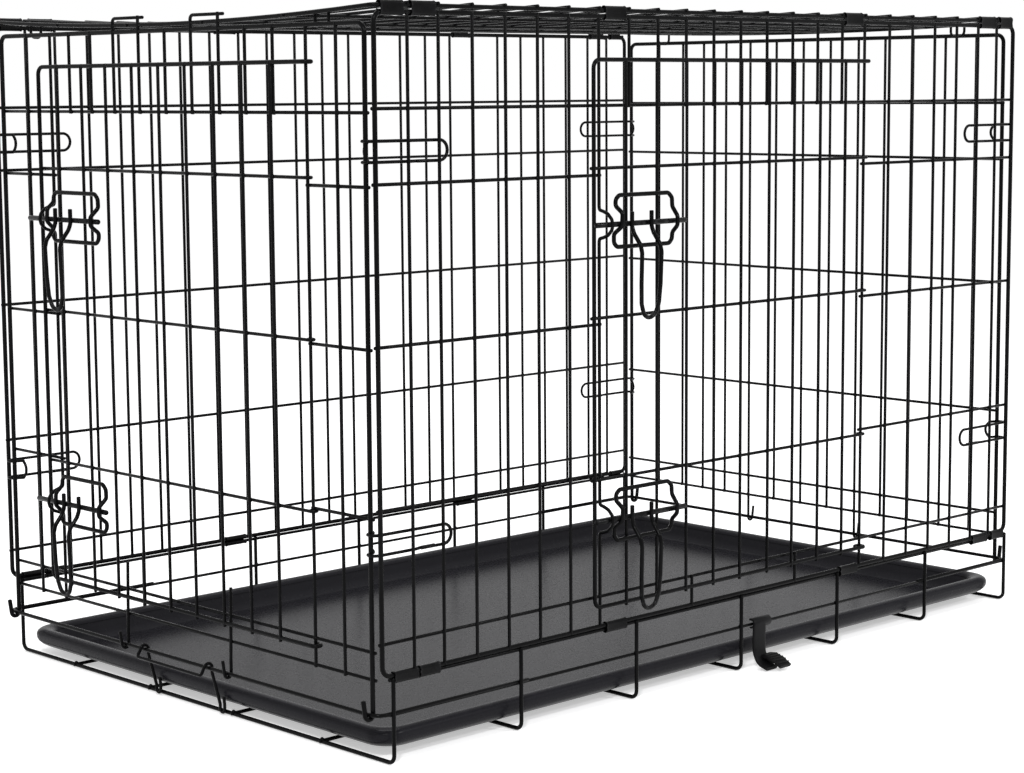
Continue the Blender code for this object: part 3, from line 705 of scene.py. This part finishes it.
def rods():
    """The sliding rods: a straight wire each, rubbed all over."""
    for tag, place, u, step, z in bolt_frames():
        ends = [u + step * reach for reach in ROD_REACH[tag.split("_")[0]]]
        rod = tube([place(-1, end, ROD_OUT, z) for end in ends], gauges()["rod"], sides=16)
        rod.worn = np.ones(len(rod.points))
        piece("bolt_" + tag + "_rod", [rod], "bolt_" + tag, "bolt_" + tag, "latch_wire")


def brackets():
    """Closed bow-tie wires, resting on the door's uprights and stepping over the rod twice."""
    g = gauges()
    under = -ROD_OUT + DOOR_OUT + 0.6 + (g["infill"] + g["latch"]) / 2 - 0.4
    outs = {-1: under, 1: (g["rod"] + g["latch"]) / 2 + 0.2}
    for tag, place, u, step, z in bolt_frames():
        path = [place(-1, u + step * a, ROD_OUT + outs[k], z + up) for a, k, up in BRACKET]
        skins = [tube(rounded(path, 5.0, closed=True), g["latch"], True)]
        body = tag.split("_")[0] + "_door"
        piece("bracket_" + tag + "_wire", skins, body, "bracket_" + tag, "latch_wire")


def handles():
    """Hairpins on the rods: one leg, a bend at the foot and the leg mirrored, rubbed where a
    finger lifts them."""
    g = gauges()
    over = (g["rod"] + g["latch"]) / 2 - 0.3
    for tag, place, u, step, z in bolt_frames():
        leg = [(a, over + n, up) for a, n, up in HANDLE_LEG]
        shape = [(-a, n, up) for a, n, up in leg] + [(0, over + 9, -87)] + leg[::-1]
        path = [place(-1, u + step * a, ROD_OUT + n, z + up) for a, n, up in shape]
        wire = tube(rounded(path, 9.0, 6), g["latch"])
        wire.worn = np.clip((z - GRIP_DROP - wire.points[:, 2]) / GRIP_FADE, 0.0, 1.0)
        piece("handle_" + tag + "_wire", [wire], "handle_" + tag, "handle_" + tag, "latch_wire")


# Corner hooks and hinge clips.

def corner_hooks():
    """Wire rings at two heights of each corner, closed by an overlap on the lower leg.

    A ring lies along the side panel from a half circle at its tail, goes round the end panel's
    post and turns back inside it, its two legs half a height above and below the middle.
    """
    hook = gauges()["hook"]
    leg_y, back_y, tip_x, inner_x, tail, half = 288.6, 269.5, 462.0, 450.5, 374.5, 8.7
    lap_y = leg_y - hook * 0.9
    for height, mid in HOOK_Z.items():
        for end, ex in (("front", -1), ("back", 1)):
            for side, sy in (("near", -1), ("far", 1)):
                over = [(tip_x - 5, leg_y), (tip_x, leg_y - 3), (tip_x - 1, leg_y - 10),
                        (inner_x + 1, leg_y - 14)]
                loop = [(409.0, leg_y, mid - half), (tail + 12, leg_y, mid - half)]
                turn = arc(tail + half, mid, half, 262, 98, 10)
                loop += [(x, leg_y, z) for x, z in turn]
                loop += [(x, y, mid + half) for x, y in over]
                turn = arc(back_y, mid, half, 98, 262, 10) + (half, 0.0)
                turn[:, 0] = np.minimum(turn[:, 0], leg_y - 14.5)
                loop += [(inner_x, y, z) for y, z in turn]
                loop += [(x, y, mid - half) for x, y in reversed(over)]
                loop += [(415.0, leg_y, mid - half), (407.0, lap_y, mid - half),
                         (392.0, lap_y, mid - half)]
                path = rounded([(ex * x, sy * y, z) for x, y, z in loop], 3.0)
                name = "_".join(("hook", height, end, side))
                piece(name + "_wire", [tube(path, hook, sides=10)], "frame", name, "crate_wire")


def band(low, high, length, x, sign):
    """A hinge clip: a steel band folded round two rails, its seam inside, its ends flared.

    The band's middle line is a racetrack pinched at its waist. The outline is that line moved
    half the steel's thickness to each side, and the flare moves it out near both ends.
    """
    radius, steel, seam, pinch, flare = CLIP_RADIUS, 0.8, 1.3, 0.55, 0.5
    waist = (low + high) / 2
    line = [(-radius + 0.5, waist + seam), (-radius - 0.1, waist + seam + 0.8)]
    line += [tuple(p) for p in arc(0.0, high, radius, 170, 10, 8)]
    line += [(radius - pinch, waist)]
    line += [tuple(p) for p in arc(0.0, low, radius, -10, -170, 8)]
    line += [(-radius - 0.1, waist - seam - 0.8), (-radius + 0.5, waist - seam)]
    line = np.asarray(line)
    ahead = unit(np.gradient(line, axis=0))
    normal = np.stack([-ahead[:, 1], ahead[:, 0]], 1)
    half = length / 2
    spots = np.array([-half, -half + 0.25, -half + 1.0, -half + 2.5, 0.0, half - 2.5, half - 1.0,
                      half - 0.25, half])
    grow = flare * np.exp(-(half - np.abs(spots)) / 1.1)
    thin = np.array([0.55, 1.0, 1.0, 1.0, 1.0, 1.0, 1.0, 1.0, 0.55]) * steel / 2
    outer = line + normal * (grow + thin)[:, None, None]
    inner = line + normal * (grow - thin)[:, None, None]
    flat = np.concatenate([outer, inner[:, ::-1]], 1)
    skin = stacked(np.stack([np.broadcast_to(spots[:, None] + x, flat.shape[:2]),
                             sign * (SIDE_Y + flat[..., 0]), flat[..., 1]], -1))
    skin.worn = np.repeat(np.clip(1.0 - (half - np.abs(spots)) / 2.0, 0.0, 1.0), flat.shape[1])
    return skin if sign > 0 else flipped(skin)


def hinge_clips():
    """Clips round the side panels' rails and the rails beside them, at the top and the foot."""
    levels = (("top", SIDE_TOP, TOP_Z, CLIP_SPOTS),
              ("foot", BASE_HINGE_Z, SIDE_RAILS[0], FIRST_FOOT_CLIPS + CLIP_SPOTS[2:]))
    for level, low, high, spots in levels:
        for i, (x, length) in enumerate(spots, 1):
            for side, sign in (("near", -1), ("far", 1)):
                name = "_".join(("clip", level, side, str(i)))
                skin = band(low, high, length, x, sign)
                piece(name + "_band", [skin], "frame", name, "hinge_clip")


# Base, tray and their latch and clip.

def base_frame():
    """Floor wires bent up at both sides, wires along them, two rails along each side, and an end
    rail at each end whose arms lie beside the lower rail."""
    g = gauges()
    wire, top = g["base"], BASE_HINGE_Z + 1.2
    floor_z, out, inside = wire / 2, SIDE_Y + CROSS, SIDE_Y - CROSS
    skins = []
    for x in FLOOR_X:
        path = [(x, -out, top), (x, -out, floor_z), (x, out, floor_z), (x, out, top)]
        skins.append(tube(rounded(path, 7.0), wire))
    for y in FLOOR_Y:
        path = [(x, y, floor_z + 0.4) for x in (FLOOR_X[0] - STUB, FLOOR_X[-1] + STUB)]
        skins.append(tube(path, wire - 0.3))
    for y in (-inside, inside):
        for z, size in ((BASE_RAIL_Z - 1.0, g["infill"]), (BASE_HINGE_Z, g["infill"] + 0.2)):
            skins.append(tube([(x, y, z) for x in (FLOOR_X[0] - 3, FLOOR_X[-1] + 3)], size))
    for end, tip in ((-BASE_RAIL_X, FLOOR_X[1] + 10.0), (BASE_RAIL_X, FLOOR_X[-2] - 10.0)):
        bar = [(x, y, BASE_RAIL_Z)
               for x, y in ((tip, -inside), (end, -inside), (end, inside), (tip, inside))]
        skins.append(tube(rounded(bar, 11.0, 8), wire))
    spots = [(x, y, z) for x in FLOOR_X for y in (-SIDE_Y, SIDE_Y)
             for z in (BASE_RAIL_Z, BASE_HINGE_Z)]
    skins.append(welds(spots, wire, 0.6))
    spots = [(x, y, floor_z + wire * 0.4) for x in FLOOR_X for y in FLOOR_Y]
    skins.append(welds(spots, wire, 0.62))
    piece("base_frame_wires", skins, "frame", "base_frame", "crate_wire")


def ring_of(half_x, half_y, corner, steps, z):
    """A level rounded rectangle: four quarter circles joined by straight sides."""
    turn = np.radians(np.linspace(0, 90, steps))
    quarter = np.stack([np.cos(turn), np.sin(turn)], 1) * corner
    corners = []
    for k, (sx, sy) in enumerate(((1, 1), (-1, 1), (-1, -1), (1, -1))):
        c, s = math.cos(k * math.pi / 2), math.sin(k * math.pi / 2)
        turned = quarter @ np.array([[c, s], [-s, c]])
        corners.append(turned + (sx * (half_x - corner), sy * (half_y - corner)))
    flat = np.concatenate(corners)
    return np.column_stack([flat, np.full(len(flat), z)])


def tray():
    """The floor tray: level rounded rectangles stacked along a wall profile.

    The profile gives how far in from the tray's edge each ring lies and how high. It starts in
    the middle of the floor, climbs the inner wall, rolls over the rim and goes down outside to
    the underside's middle.
    """
    inner = [(120.0, 5.8), (60.0, 5.6), (34.0, 5.8), *arc(31.0, 19.8, 14.0, 270, 195, 9),
             (14.6, 22.0)]
    roll = [*arc(10.2, 21.2, 5.0, 15, 70, 5), (9.0, 26.8), (7.4, TRAY_TOP)]
    outer = [*arc(6.6, 20.6, 6.4, 92, 180, 8), (0.5, 17.4), (1.6, 14.6), (4.0, 12.0), (7.8, 9.6),
             (12.4, 7.6), (17.6, 6.0), (24.0, 4.8), (34.0, 4.0), (60.0, 3.8), (120.0, 3.8)]
    rings = [ring_of(TRAY_HALF_X - inset, TRAY_HALF_Y - inset, max(23.0 - 0.1 * inset, 12.0), 9, z)
             + (TRAY_X, 0.0, 0.0) for inset, z in inner + roll + outer]
    skin = stacked(np.asarray(rings))
    skin.worn = np.clip((skin.points[:, 2] - TRAY_TOP + RIM_RUB) / RIM_RUB, 0.0, 1.0)
    piece("tray_shell", [flipped(skin)], "tray", "tray", "tray_plastic")


def tray_latch():
    """Wire latch, bent from one wire: a crossbar outside the base rail, a claw over the rail at
    each end, a leg down inside the rail, and a hairpin hung just outside the floor wire."""
    wire, claw_radius, rail_x = 3.1, 4.3, -BASE_RAIL_X
    bar_x, bar_z = rail_x - 8.5, 39.5
    foot_x, turn_z, half = FLOOR_X[0] - (wire + gauges()["base"]) / 2 - 0.2, 5.2, 3.4
    claw = arc(rail_x, BASE_RAIL_Z, claw_radius, 0, 150, 9)

    def end(y):
        turn = arc(y - half, turn_z, half, 180, 360, 10)[:, ::-1]
        path = [(foot_x - 0.7, y - 2 * half, 16.5), (foot_x, y - 2 * half, 9.0)]
        path += [(foot_x, u, v) for v, u in turn]
        path += [(foot_x, y, 9.0), (rail_x + claw_radius, y, BASE_RAIL_Z - 5.0)]
        return path + [(x, y, z) for x, z in claw] + [(bar_x, y, bar_z)]

    left, right = (end(y) for y in LATCH_Y)
    skins = [tube(rounded(left + right[::-1], 2.4), wire)]
    piece("tray_latch_wire", skins, "tray_latch", "tray_latch", "latch_wire")


def tongue(spine, middle, half, start, end):
    """A flat arm along a line in the Y-Z plane: a squared-off oval, half its width along X and
    half its thickness across the line, going evenly from one thickness to the other."""
    share = np.linspace(0, 1, len(spine))
    ahead = unit(np.gradient(spine, axis=0))
    across = np.stack([-ahead[:, 1], ahead[:, 0]], 1)
    thick = start + (end - start) * share
    reach = half * (1 - 0.10 * share ** 3)
    turn = np.linspace(0, 2 * np.pi, 24, endpoint=False)
    wave_u = np.sign(np.cos(turn)) * np.abs(np.cos(turn)) ** 0.3
    wave_v = np.sign(np.sin(turn)) * np.abs(np.sin(turn)) ** 0.5
    over = spine[:, None] + thick[:, None, None] * wave_v[None, :, None] * across[:, None]
    return stacked(np.dstack([middle + reach[:, None] * wave_u, over]))


def thumb_clip():
    """Moulded clip: a split tube round the base's middle wire, an arm down from it, and a pad
    with five ribs that stands out from the arm's foot."""
    middle = np.array([-SIDE_Y, BASE_RAIL_Z])
    ring = np.concatenate([arc(*middle, 5.2, 60, 285, 16), arc(*middle, 3.2, 285, 60, 16)])
    wide = np.array([-13.0, -12.7, 12.7, 13.0])
    draw = np.array([0.97, 1.0, 1.0, 0.97])
    flat = middle + (ring - middle) * draw[:, None, None]
    collar = stacked(np.dstack([np.broadcast_to(wide[:, None] + THUMB_X, flat.shape[:2]), flat]))
    spine = rounded([(-295.2, 46.0, 0), (-294.4, 30.0, 0), (-295.0, 16.0, 0), (-299.6, 5.6, 0),
                     (-311.5, 2.2, 0)], 14.0, 8)[:, :2]
    arm_x, pad_x = THUMB_X - 4.0, THUMB_X + 4.2
    arm = tongue(spine, arm_x, 9.2, 1.5, 1.7)
    shelf = rounded([(-297.0, 11.0, 0), (-303.5, 12.0, 0), (-314.5, 8.8, 0), (-322.0, 4.6, 0)],
                    9.0, 8)[:, :2]
    pad = tongue(shelf, pad_x, 9.4, 2.5, 1.7)
    ribs = []
    for y in np.linspace(-304.5, -319.5, 5):
        z = float(np.interp(-y, -shelf[:, 0], shelf[:, 1])) + 2.2
        rib = tube([(pad_x - 7.4, y, z), (pad_x + 7.4, y, z)], 1.7, sides=8)
        rib.worn = np.ones(len(rib.points))
        ribs.append(rib)
    skins = [collar, arm, pad] + ribs
    piece("tray_clip_moulding", skins, "tray_clip", "tray_clip", "clip_plastic")


# Stage.

# The floor's height in millimetres, and half its width in metres. How strongly the floor glows
# where it is seen, and the room's light where it isn't.
FLOOR_Z = -0.4
STAGE_HALF = 60.0
FLOOR_GLOW, ROOM_LIGHT = 0.46, 0.64

# Name, place, what it looks at, width and height in metres, and watts.
LAMPS = [("key", (-2.6, -2.2, 2.7), (0.0, 0.0, 0.3), (0.32, 0.32), 60.0),
         ("fill", (1.2, -3.4, 2.4), (0.0, 0.0, 0.3), (0.3, 0.3), 34.0),
         ("over", (0.3, 0.4, 3.4), (0.0, 0.0, 0.0), (2.0, 0.7), 50.0)]


def sheet_floor(finish):
    """The studio floor: one level square, wide enough to reach past every view."""
    half, low = STAGE_HALF, FLOOR_Z * MM
    mesh = bpy.data.meshes.new("studio_floor")
    corners = [(-half, -half, low), (half, -half, low), (half, half, low), (-half, half, low)]
    mesh.from_pydata(corners, [], [(0, 1, 2, 3)])
    mesh.materials.append(finish)
    floor = bpy.data.objects.new("studio_floor", mesh)
    bpy.context.scene.collection.objects.link(floor)


def seen_rays(graph):
    """1 where the camera, a gloss or a glass looks, and 0 for light on its way."""
    rays = graph.add("LightPath").outputs
    seen = times(graph, rays["Is Camera Ray"], rays["Is Glossy Ray"], "MAXIMUM")
    return times(graph, seen, rays["Is Transmission Ray"], "MAXIMUM")


def floor_finish():
    """Matt white; where it is seen it glows a little, so that it meets the white backdrop."""
    made = bpy.data.materials.new("studio_floor")
    graph = Graph(made)
    graph.nodes.clear()
    colour = (*bpy.context.scene.crate_finish.floor, 1.0)
    matt = graph.add("BsdfDiffuse", {"Color": colour})
    glow = graph.add("Emission", {"Strength": times(graph, seen_rays(graph), FLOOR_GLOW)})
    both = graph.add("AddShader", {0: matt.outputs[0], 1: glow.outputs[0]})
    graph.add("OutputMaterial", {"Surface": both.outputs[0]})
    return made


def backdrop():
    """White where it is seen, and a plain soft light for everything else."""
    world = bpy.data.worlds.new("studio")
    bpy.context.scene.world = world
    graph = Graph(world)
    graph.nodes.clear()
    strength = remap(graph, seen_rays(graph), 0.0, 1.0, ROOM_LIGHT, 1.0)
    sky = graph.add("Background", {"Color": (1.0, 1.0, 1.0, 1.0), "Strength": strength})
    graph.add("OutputWorld", {"Surface": sky.outputs[0]})


def lamp(name, spot, aim, size, power):
    """A rectangular lamp that faces a point."""
    data = bpy.data.lights.new(name, "AREA")
    data.shape = "RECTANGLE"
    data.size, data.size_y = size
    data.energy = power
    made = bpy.data.objects.new(name, data)
    made.location = spot
    look = Vector(aim) - Vector(spot)
    made.rotation_euler = look.to_track_quat("-Z", "Y").to_euler()
    bpy.context.scene.collection.objects.link(made)


def camera():
    """A camera at the photograph's place: forward from heading and pitch, turned by its roll."""
    heading, pitch = math.radians(CAMERA_HEADING), math.radians(CAMERA_PITCH)
    roll = math.radians(CAMERA_ROLL)
    ahead = np.array([math.cos(heading) * math.cos(pitch), math.sin(heading) * math.cos(pitch),
                      -math.sin(pitch)])
    right = np.array([math.sin(heading), -math.cos(heading), 0.0])
    up = np.cross(right, ahead)
    right, up = (math.cos(roll) * right + math.sin(roll) * up,
                 -math.sin(roll) * right + math.cos(roll) * up)
    data = bpy.data.cameras.new("camera")
    data.sensor_width = SENSOR
    data.lens = FOCAL_PIXELS / PHOTO_WIDTH * SENSOR
    data.shift_x = -CENTRE_OFFSET[0] / PHOTO_WIDTH
    data.shift_y = CENTRE_OFFSET[1] / PHOTO_WIDTH
    data.clip_start, data.clip_end = CAMERA_CLIP
    made = bpy.data.objects.new("camera", data)
    spot = (np.array(CAMERA_SPOT) - (ORIGIN_X, 0.0, 0.0)) * MM
    turn = np.column_stack([right, up, -ahead, spot])
    made.matrix_world = Matrix([[*row] for row in turn] + [[0.0, 0.0, 0.0, 1.0]])
    bpy.context.scene.collection.objects.link(made)
    bpy.context.scene.camera = made


class CratePanels(bpy.types.Operator):
    """Make both side panels, both end panels and the top panel"""
    bl_idname = "crate.panels"
    bl_label = "Panels"

    def execute(self, context):
        side_panel(-1, "side_panel_near")
        side_panel(1, "side_panel_far")
        end_panel(-1, "end_panel_front", "end_front")
        end_panel(1, "end_panel_back", "end_back")
        top_panel()
        return {"FINISHED"}


class CrateDoors(bpy.types.Operator):
    """Make the side door and the end door, each curled round its hinge wire"""
    bl_idname = "crate.doors"
    bl_label = "Doors"

    def execute(self, context):
        door(on_side, SIDE_DOOR_X, SIDE_DOOR_RAILS, HINGE_X, "side_door")
        door(on_end, END_DOOR_Y, END_DOOR_RAILS, END_Y[END_HINGE_I], "end_door")
        return {"FINISHED"}


class CrateKeepers(bpy.types.Operator):
    """Make the two wires that the bolts lock behind"""
    bl_idname = "crate.keepers"
    bl_label = "Keeper Wires"

    def execute(self, context):
        keeper(on_side, KEEPER_X, SIDE_RAILS, SIDE_LOWER_Z, "side_keeper", "frame")
        keeper(on_end, END_Y[END_KEEPER_I], END_RAILS, END_LOWER_Z, "end_keeper", "end_front")
        return {"FINISHED"}


class CrateBolts(bpy.types.Operator):
    """Make the four slide bolts: rods, brackets and handles"""
    bl_idname = "crate.bolts"
    bl_label = "Slide Bolts"

    def execute(self, context):
        rods()
        brackets()
        handles()
        return {"FINISHED"}


class CrateHooks(bpy.types.Operator):
    """Make the wire rings at the corners"""
    bl_idname = "crate.hooks"
    bl_label = "Corner Hooks"

    def execute(self, context):
        corner_hooks()
        return {"FINISHED"}


class CrateClips(bpy.types.Operator):
    """Make the folded steel clips that join side panels to base and top"""
    bl_idname = "crate.clips"
    bl_label = "Hinge Clips"

    def execute(self, context):
        hinge_clips()
        return {"FINISHED"}


class CrateBase(bpy.types.Operator):
    """Make the base of floor wires and rails"""
    bl_idname = "crate.base"
    bl_label = "Base"

    def execute(self, context):
        base_frame()
        return {"FINISHED"}


class CrateTray(bpy.types.Operator):
    """Make the moulded tray, its wire latch and its thumb clip"""
    bl_idname = "crate.tray"
    bl_label = "Tray, Latch and Clip"

    def execute(self, context):
        tray()
        tray_latch()
        thumb_clip()
        return {"FINISHED"}


class CrateStage(bpy.types.Operator):
    """Set the floor, the backdrop, the lamps and the camera"""
    bl_idname = "crate.stage"
    bl_label = "Studio"

    def execute(self, context):
        context.scene.view_settings.view_transform = "Standard"
        sheet_floor(floor_finish())
        backdrop()
        for row in LAMPS:
            lamp(*row)
        camera()
        return {"FINISHED"}


class CrateSidebar(bpy.types.Panel):
    """Sizes, finishes and the pieces of the crate"""
    bl_idname = "VIEW3D_PT_dog_crate"
    bl_label = "Dog Crate"
    bl_space_type = "VIEW_3D"
    bl_region_type = "UI"
    bl_category = "Dog Crate"

    def draw(self, context):
        layout = self.layout
        for group in (context.scene.crate_sizes, context.scene.crate_finish):
            box = layout.box()
            for name in group.__annotations__:
                box.prop(group, name)
        for maker in MAKERS:
            layout.operator(maker.bl_idname)


MAKERS = (CratePanels, CrateDoors, CrateKeepers, CrateBolts, CrateHooks, CrateClips, CrateBase,
          CrateTray, CrateStage)
CLASSES = (CrateSizes, CrateFinish) + MAKERS + (CrateSidebar,)


def register():
    for item in CLASSES:
        bpy.utils.register_class(item)
    bpy.types.Scene.crate_sizes = bpy.props.PointerProperty(type=CrateSizes)
    bpy.types.Scene.crate_finish = bpy.props.PointerProperty(type=CrateFinish)


def unregister():
    del bpy.types.Scene.crate_finish
    del bpy.types.Scene.crate_sizes
    for item in reversed(CLASSES):
        bpy.utils.unregister_class(item)


def main():
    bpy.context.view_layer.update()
    register()
    for make in (bpy.ops.crate.panels, bpy.ops.crate.doors, bpy.ops.crate.keepers,
                 bpy.ops.crate.bolts, bpy.ops.crate.hooks, bpy.ops.crate.clips,
                 bpy.ops.crate.base, bpy.ops.crate.tray, bpy.ops.crate.stage):
        make()


if __name__ == "__main__":
    main()
